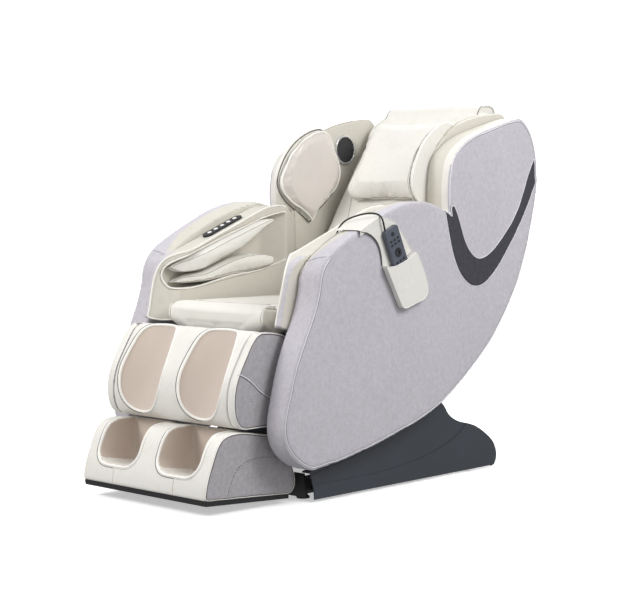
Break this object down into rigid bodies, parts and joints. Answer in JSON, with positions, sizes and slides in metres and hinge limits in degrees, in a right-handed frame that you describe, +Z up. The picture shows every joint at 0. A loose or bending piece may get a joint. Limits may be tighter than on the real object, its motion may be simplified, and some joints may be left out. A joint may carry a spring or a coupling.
{
  "type": "massage chair",
  "caption": "Reclining massage chair: upholstered shell with wings on a floor base, padded arms with hand control, channelled leg rest, foot wells, roller carriage in the back.",
  "frame": {"origin": "centre of the bounding box's floor face", "axes": "+X to the sitter's left, +Y to the back, +Z up"},
  "size_m": [0.7415, 1.2741, 1.0911],
  "materials": {
    "panel_fabric": "fine woven light lilac grey",
    "stripe_fabric": "charcoal woven",
    "cream_leather": "soft satin synthetic leather",
    "beige_leather": "soft satin synthetic leather",
    "blush_mesh": "fine stretch mesh",
    "grey_fabric": "fine woven grey",
    "slate_plastic": "moulded, fine grain",
    "black_plastic": "moulded",
    "frame_steel": "black powder coat",
    "bright_steel": "turned",
    "foot_rubber": "plain",
    "button_white": "lit white",
    "speaker_silver": "satin silver",
    "speaker_mesh": "perforated",
    "remote_plastic": "dark slate",
    "roller_rubber": "plain",
    "cord_rubber": "plain"
  },
  "bodies": {
    "base": {"base_frame": "frame_steel", "base_cover_left": "slate_plastic", "base_cover_right": "slate_plastic", "base_front_cover": "black_plastic", "base_feet": "foot_rubber", "tilt_shaft": "bright_steel", "power_inlet": "black_plastic", "air_pump": "black_plastic", "control_box": "black_plastic"},
    "power_switch": {"power_rocker": "black_plastic"},
    "tilt_tube": {"tilt_actuator_tube": "black_plastic"},
    "tilt_rod": {"tilt_actuator_rod": "bright_steel"},
    "shell": {"seat_frame": "frame_steel", "leg_shaft": "bright_steel", "side_panel_left": "panel_fabric", "side_panel_right": "panel_fabric", "panel_stripes": "stripe_fabric", "inner_arm_left": "beige_leather", "inner_arm_right": "beige_leather", "arm_pads_upper": "cream_leather", "arm_pads_lower": "cream_leather", "control_strip": "black_plastic", "wing_lining_left": "cream_leather", "wing_lining_right": "cream_leather", "shoulder_pad_left": "blush_mesh", "shoulder_pad_right": "blush_mesh", "shoulder_backings": "cream_leather", "speaker_rings": "speaker_silver", "speaker_grilles": "speaker_mesh", "back_shell": "slate_plastic", "back_rails": "bright_steel", "backrest_cushion": "cream_leather", "pillow_flap": "cream_leather", "seat_cushion": "cream_leather", "remote_pouch": "cream_leather", "pouch_strap": "cream_leather", "remote_cord": "cord_rubber"},
    "pillow": {"head_pillow": "cream_leather"},
    "remote": {"remote_body": "remote_plastic", "remote_small_keys": "remote_plastic"},
    "remote_power": {"remote_power_key": "remote_plastic"},
    "remote_wheel": {"remote_wheel_key": "remote_plastic"},
    "leg_tube": {"leg_actuator_tube": "black_plastic"},
    "leg_rod": {"leg_actuator_rod": "bright_steel"},
    "leg_rest": {"calf_shell": "black_plastic", "calf_pad": "cream_leather", "calf_side_covers": "grey_fabric"},
    "foot_rest": {"foot_shell": "cream_leather", "foot_liners": "blush_mesh", "foot_base_plate": "black_plastic", "foot_slide_tubes": "bright_steel"},
    "carriage": {"carriage_frame": "frame_steel"},
    "rollers": {"massage_rollers": "roller_rubber"},
    "walker": {"walking_shaft": "bright_steel"},
    "arm_button_1_cap": {"arm_button_1": "button_white"},
    "arm_button_2_cap": {"arm_button_2": "button_white"},
    "arm_button_3_cap": {"arm_button_3": "button_white"},
    "arm_button_4_cap": {"arm_button_4": "button_white"},
    "arm_button_5_cap": {"arm_button_5": "button_white"}
  },
  "joints": [
    {"name": "recline_tilt", "type": "hinge", "parent": "base", "child": "shell", "pos_m": [0, 0.22, 0.19], "axis": [-1, 0, 0], "range_deg": [0, 25]},
    {"name": "tilt_actuator_swing", "type": "hinge", "parent": "base", "child": "tilt_tube", "pos_m": [0, 0.059, 0.057], "axis": [-1, 0, 0], "range_deg": [-0.5, 13.49]},
    {"name": "tilt_actuator_extend", "type": "slide", "parent": "tilt_tube", "child": "tilt_rod", "axis": [0, -0.1933, 0.9811], "range_m": [-0.001, 0.077]},
    {"name": "leg_rest_lift", "type": "hinge", "parent": "shell", "child": "leg_rest", "pos_m": [0, -0.415, 0.385], "axis": [-1, 0, 0], "range_deg": [0, 75]},
    {"name": "leg_actuator_swing", "type": "hinge", "parent": "shell", "child": "leg_tube", "pos_m": [0, -0.19, 0.318], "axis": [-1, 0, 0], "range_deg": [-0.5, 4.5]},
    {"name": "leg_actuator_extend", "type": "slide", "parent": "leg_tube", "child": "leg_rod", "axis": [0, -0.989, 0.1481], "range_m": [-0.001, 0.0379]},
    {"name": "foot_rest_slide", "type": "slide", "parent": "leg_rest", "child": "foot_rest", "axis": [0, 0, -1], "range_m": [0, 0.12]},
    {"name": "head_pillow_flip", "type": "hinge", "parent": "shell", "child": "pillow", "pos_m": [0, 0.51909, 1.02426], "axis": [-1, 0, 0], "range_deg": [0, 95]},
    {"name": "remote_lift_out", "type": "slide", "parent": "shell", "child": "remote", "axis": [0, -0.4226, 0.9063], "range_m": [0, 0.11], "deforming": ["remote_cord"]},
    {"name": "remote_power_press", "type": "slide", "parent": "remote", "child": "remote_power", "axis": [-1, 0, 0], "range_m": [0, 0.001], "stiffness_N_per_m": 400, "springref_m": -0.0005},
    {"name": "remote_wheel_press", "type": "slide", "parent": "remote", "child": "remote_wheel", "axis": [-1, 0, 0], "range_m": [0, 0.001], "stiffness_N_per_m": 400, "springref_m": -0.0005},
    {"name": "massage_carriage_travel", "type": "slide", "parent": "shell", "child": "carriage", "axis": [0, 0.5446, 0.8387], "range_m": [0, 0.35]},
    {"name": "massage_roller_spin", "type": "hinge", "parent": "carriage", "child": "rollers", "pos_m": [0, 0.33752, 0.53168], "axis": [1, 0, 0], "continuous": true},
    {"name": "walking_shaft_turn", "type": "hinge", "parent": "carriage", "child": "walker", "pos_m": [0, 0.36939, 0.51098], "axis": [1, 0, 0], "range_deg": [-5, 888]},
    {"name": "power_switch_rock", "type": "hinge", "parent": "base", "child": "power_switch", "pos_m": [0.022, 0.4825, 0.0405], "axis": [1, 0, 0], "range_deg": [-7, 7]},
    {"name": "arm_button_1_press", "type": "slide", "parent": "shell", "child": "arm_button_1_cap", "axis": [0, 0.372, -0.9282], "range_m": [0, 0.0012], "stiffness_N_per_m": 300, "springref_m": -0.0006},
    {"name": "arm_button_2_press", "type": "slide", "parent": "shell", "child": "arm_button_2_cap", "axis": [0, 0.372, -0.9282], "range_m": [0, 0.0012], "stiffness_N_per_m": 300, "springref_m": -0.0006},
    {"name": "arm_button_3_press", "type": "slide", "parent": "shell", "child": "arm_button_3_cap", "axis": [0, 0.372, -0.9282], "range_m": [0, 0.0012], "stiffness_N_per_m": 300, "springref_m": -0.0006},
    {"name": "arm_button_4_press", "type": "slide", "parent": "shell", "child": "arm_button_4_cap", "axis": [0, 0.372, -0.9282], "range_m": [0, 0.0012], "stiffness_N_per_m": 300, "springref_m": -0.0006},
    {"name": "arm_button_5_press", "type": "slide", "parent": "shell", "child": "arm_button_5_cap", "axis": [0, 0.372, -0.9282], "range_m": [0, 0.0012], "stiffness_N_per_m": 300, "springref_m": -0.0006}
  ],
  "couplings": [
    {"joint": "tilt_actuator_swing", "follows": "recline_tilt", "ratio": 0.5154},
    {"joint": "tilt_actuator_extend", "follows": "recline_tilt", "m_per_rad": 0.17416},
    {"joint": "leg_actuator_swing", "follows": "leg_rest_lift", "ratio": 0.052},
    {"joint": "leg_actuator_extend", "follows": "leg_rest_lift", "m_per_rad": 0.0282},
    {"joint": "walking_shaft_turn", "follows": "massage_carriage_travel", "rad_per_m": 44.053}
  ]
}
